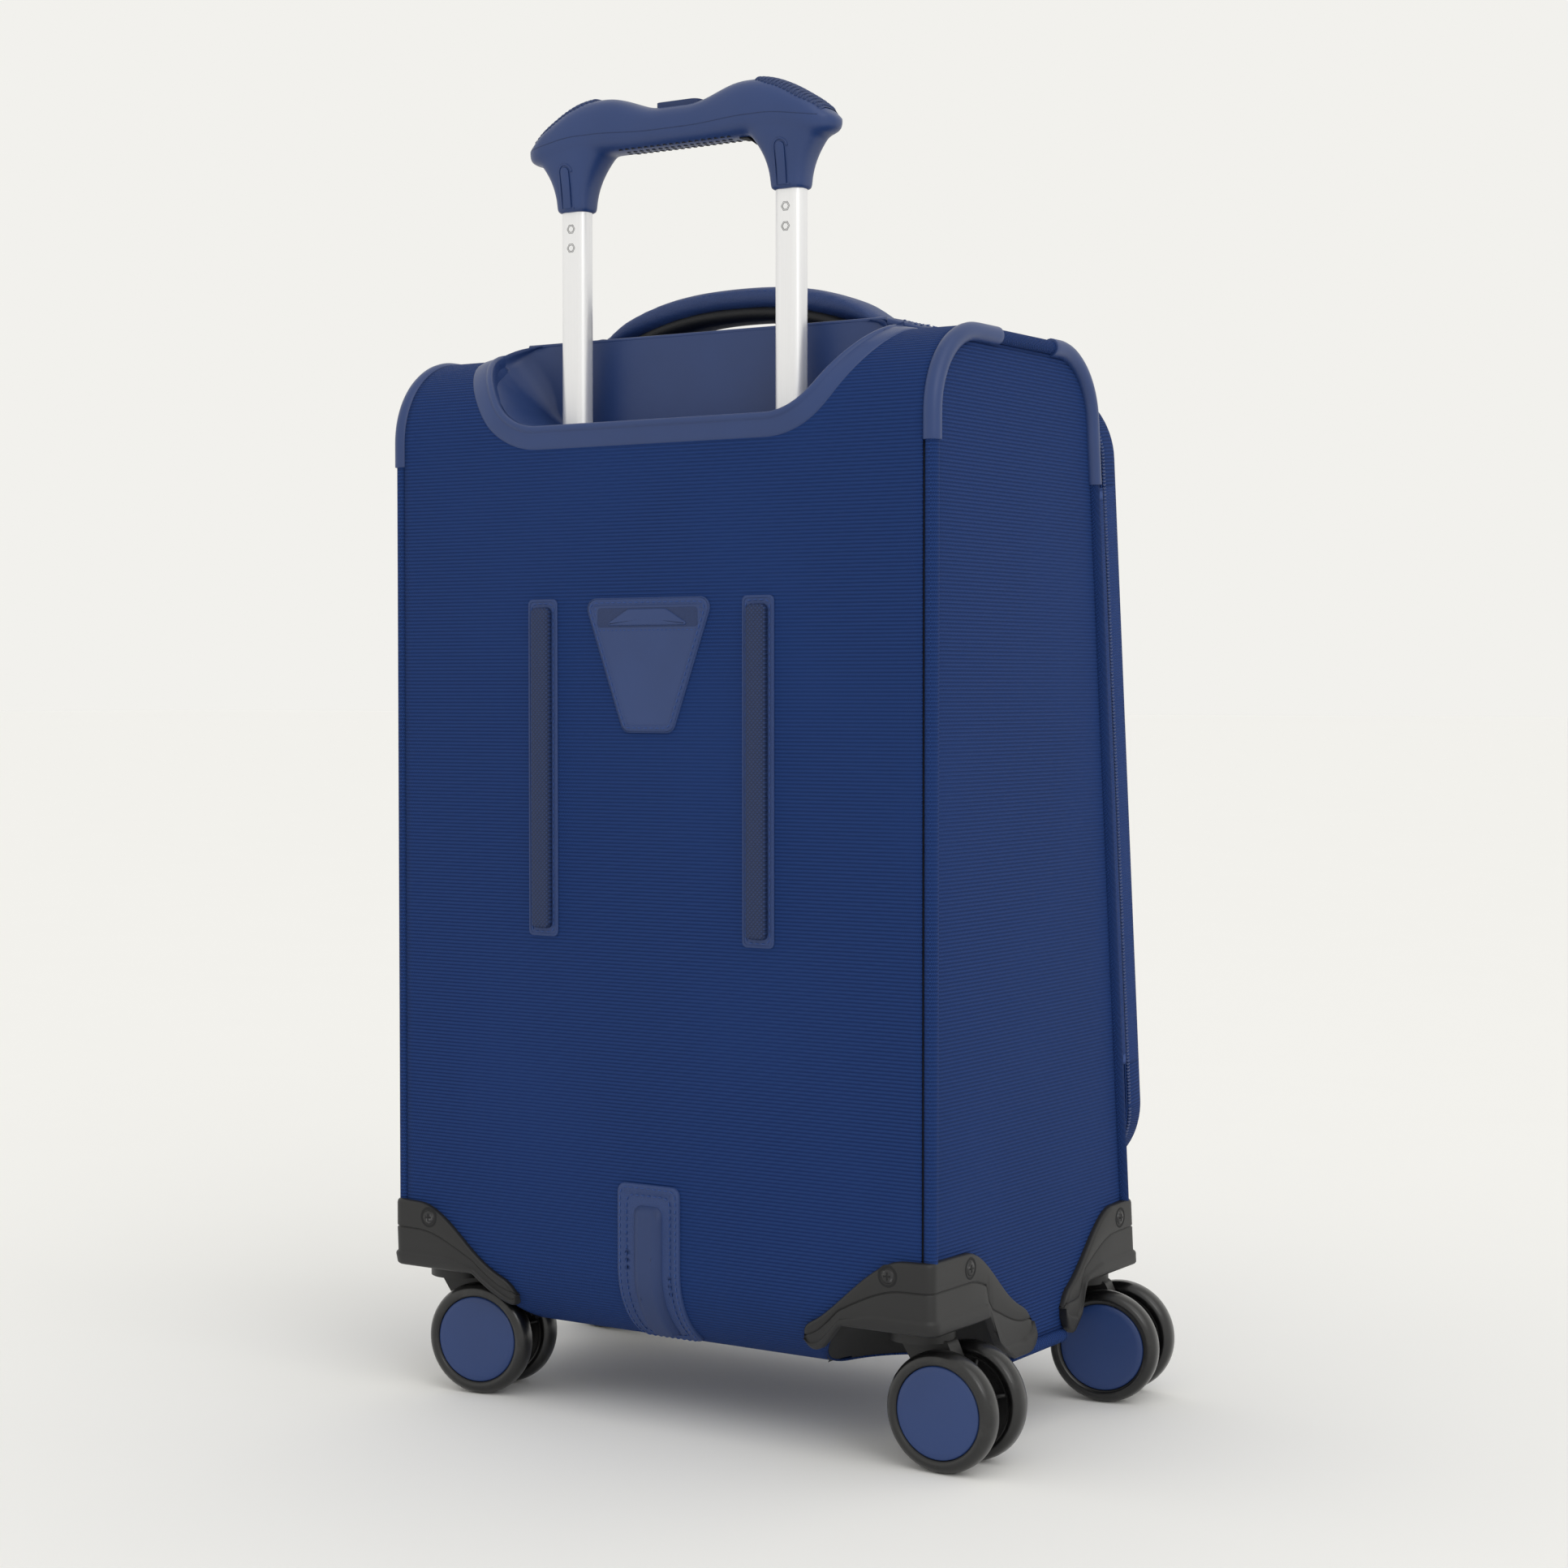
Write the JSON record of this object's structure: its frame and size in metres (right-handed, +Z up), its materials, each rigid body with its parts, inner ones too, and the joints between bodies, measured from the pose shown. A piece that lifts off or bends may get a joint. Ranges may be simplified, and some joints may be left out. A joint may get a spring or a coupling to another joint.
{
  "type": "softside upright spinner suitcase",
  "caption": "Softside upright suitcase with spinner casters, telescopic pull handle, carry handles, zippered hinged lid, expansion band and front pockets.",
  "frame": {"origin": "on the floor under the middle of the whole suitcase's box, with the handle in its half-raised rest position", "axes": "+Z up, back panel with the pull handle towards +Y, lid and pockets towards -Y, lid hinge on the -X side"},
  "size_m": [0.4178, 0.2848, 0.7262],
  "materials": {
    "panel_board": "matte honeycomb board",
    "navy_fabric": "ribbed nylon",
    "lining_fabric": "plain woven lining",
    "blue_vinyl": "smooth vinyl",
    "blue_plastic": "satin moulded plastic",
    "blue_rubber": "soft ribbed rubber",
    "black_plastic": "satin moulded plastic",
    "bright_tube": "satin anodised",
    "zinc": "zinc plated",
    "zip_tape": "coil zipper tape",
    "webbing": "woven webbing",
    "wheel_rubber": "polyurethane",
    "card": "plastic card",
    "dark_metal": "painted zinc"
  },
  "bodies": {
    "case": {"back_board": "panel_board", "top_board": "panel_board", "bottom_board": "panel_board", "front_frame": "panel_board", "side_boards": "panel_board", "side_covers": "navy_fabric", "case_cover": "navy_fabric", "guard_screws": "zinc", "rear_guards": "black_plastic", "front_guards": "black_plastic", "side_piping": "navy_fabric", "corner_sleeves": "blue_vinyl", "handle_bezel": "blue_plastic", "handle_tray": "blue_plastic", "outer_tubes": "bright_tube", "tube_foot": "black_plastic", "wear_strips": "blue_plastic", "id_patch": "blue_vinyl", "kick_plate": "blue_vinyl", "top_handle": "blue_vinyl", "side_handle": "blue_vinyl", "handle_anchors": "webbing", "back_lining": "lining_fabric", "packing_straps": "webbing", "expansion_gusset": "navy_fabric", "expansion_zip_case": "zip_tape", "kingpins": "zinc"},
    "handle_middle": {"middle_tubes": "bright_tube"},
    "handle_inner": {"inner_tubes": "bright_tube", "grip": "blue_plastic", "grip_pads": "blue_rubber"},
    "release_button": {"release_button": "blue_plastic"},
    "lock_pins": {"lock_pins": "zinc"},
    "id_tag": {"id_tag": "card"},
    "expander": {"expansion_zip_band": "zip_tape", "expander_band": "navy_fabric", "main_zip_band": "zip_tape", "hinge_webbing": "webbing"},
    "lid": {"main_zip_lid": "zip_tape", "lid_panel": "navy_fabric", "front_pocket_large": "navy_fabric", "front_pocket_small": "navy_fabric", "pocket_zips": "zip_tape"},
    "main_slider": {"main_slider": "dark_metal"},
    "expansion_slider": {"expansion_slider": "dark_metal"},
    "pocket_slider": {"pocket_slider": "dark_metal"},
    "caster_rear_left": {"fork_rear_left": "black_plastic"},
    "wheel_rear_left_a": {"wheel_rear_left_a": "wheel_rubber"},
    "wheel_rear_left_b": {"wheel_rear_left_b": "wheel_rubber"},
    "caster_rear_right": {"fork_rear_right": "black_plastic"},
    "wheel_rear_right_a": {"wheel_rear_right_a": "wheel_rubber"},
    "wheel_rear_right_b": {"wheel_rear_right_b": "wheel_rubber"},
    "caster_front_left": {"fork_front_left": "black_plastic"},
    "wheel_front_left_a": {"wheel_front_left_a": "wheel_rubber"},
    "wheel_front_left_b": {"wheel_front_left_b": "wheel_rubber"},
    "caster_front_right": {"fork_front_right": "black_plastic"},
    "wheel_front_right_a": {"wheel_front_right_a": "wheel_rubber"},
    "wheel_front_right_b": {"wheel_front_right_b": "wheel_rubber"}
  },
  "joints": [
    {"name": "handle_stage_one", "type": "slide", "parent": "case", "child": "handle_middle", "axis": [0, 0, 1], "range_m": [0, 0.175]},
    {"name": "handle_stage_two", "type": "slide", "parent": "handle_middle", "child": "handle_inner", "axis": [0, 0, 1], "range_m": [-0.119, 0.18]},
    {"name": "button_press", "type": "slide", "parent": "handle_inner", "child": "release_button", "axis": [0, 0, -1], "range_m": [0, 0.004], "stiffness_N_per_m": 1500, "springref_m": -0.001},
    {"name": "pin_retract", "type": "slide", "parent": "handle_inner", "child": "lock_pins", "axis": [0, -1, 0], "range_m": [0, 0.003]},
    {"name": "tag_pull", "type": "slide", "parent": "case", "child": "id_tag", "axis": [0, 0, 1], "range_m": [0, 0.04]},
    {"name": "expander_slide", "type": "slide", "parent": "case", "child": "expander", "axis": [0, -0.9951, 0.099], "range_m": [0, 0.05]},
    {"name": "lid_hinge", "type": "hinge", "parent": "expander", "child": "lid", "pos_m": [-0.1699, -0.08243, 0.34587], "axis": [0, -0.099, -0.9951], "range_deg": [0, 150]},
    {"name": "main_zip_travel", "type": "slide", "parent": "expander", "child": "main_slider", "axis": [0, 0.099, 0.9951], "range_m": [-0.03, 0.28]},
    {"name": "expansion_zip_travel", "type": "slide", "parent": "case", "child": "expansion_slider", "axis": [0, 0.099, 0.9951], "range_m": [0, 0.31]},
    {"name": "pocket_zip_travel", "type": "slide", "parent": "lid", "child": "pocket_slider", "axis": [1, 0, 0], "range_m": [0, 0.215]},
    {"name": "swivel_rear_left", "type": "hinge", "parent": "case", "child": "caster_rear_left", "pos_m": [0.154, 0.10894, 0.07], "axis": [0, 0, 1], "continuous": true},
    {"name": "roll_rear_left_a", "type": "hinge", "parent": "caster_rear_left", "child": "wheel_rear_left_a", "pos_m": [0.13332, 0.10529, 0.0315], "axis": [0.1736, -0.9848, 0], "continuous": true},
    {"name": "roll_rear_left_b", "type": "hinge", "parent": "caster_rear_left", "child": "wheel_rear_left_b", "pos_m": [0.13332, 0.10529, 0.0315], "axis": [0.1736, -0.9848, 0], "continuous": true},
    {"name": "swivel_rear_right", "type": "hinge", "parent": "case", "child": "caster_rear_right", "pos_m": [-0.154, 0.10894, 0.07], "axis": [0, 0, 1], "continuous": true},
    {"name": "roll_rear_right_a", "type": "hinge", "parent": "caster_rear_right", "child": "wheel_rear_right_a", "pos_m": [-0.175, 0.10894, 0.0315], "axis": [0, -1, 0], "continuous": true},
    {"name": "roll_rear_right_b", "type": "hinge", "parent": "caster_rear_right", "child": "wheel_rear_right_b", "pos_m": [-0.175, 0.10894, 0.0315], "axis": [0, -1, 0], "continuous": true},
    {"name": "swivel_front_left", "type": "hinge", "parent": "case", "child": "caster_front_left", "pos_m": [0.154, -0.06706, 0.07], "axis": [0, 0, 1], "continuous": true},
    {"name": "roll_front_left_a", "type": "hinge", "parent": "caster_front_left", "child": "wheel_front_left_a", "pos_m": [0.17474, -0.07035, 0.0315], "axis": [0.1564, 0.9877, 0], "continuous": true},
    {"name": "roll_front_left_b", "type": "hinge", "parent": "caster_front_left", "child": "wheel_front_left_b", "pos_m": [0.17474, -0.07035, 0.0315], "axis": [0.1564, 0.9877, 0], "continuous": true},
    {"name": "swivel_front_right", "type": "hinge", "parent": "case", "child": "caster_front_right", "pos_m": [-0.154, -0.06706, 0.07], "axis": [0, 0, 1], "continuous": true},
    {"name": "roll_front_right_a", "type": "hinge", "parent": "caster_front_right", "child": "wheel_front_right_a", "pos_m": [-0.17474, -0.07035, 0.0315], "axis": [0.1564, -0.9877, 0], "continuous": true},
    {"name": "roll_front_right_b", "type": "hinge", "parent": "caster_front_right", "child": "wheel_front_right_b", "pos_m": [-0.17474, -0.07035, 0.0315], "axis": [0.1564, -0.9877, 0], "continuous": true}
  ],
  "couplings": [
    {"joint": "pin_retract", "follows": "button_press", "ratio": 0.75}
  ]
}
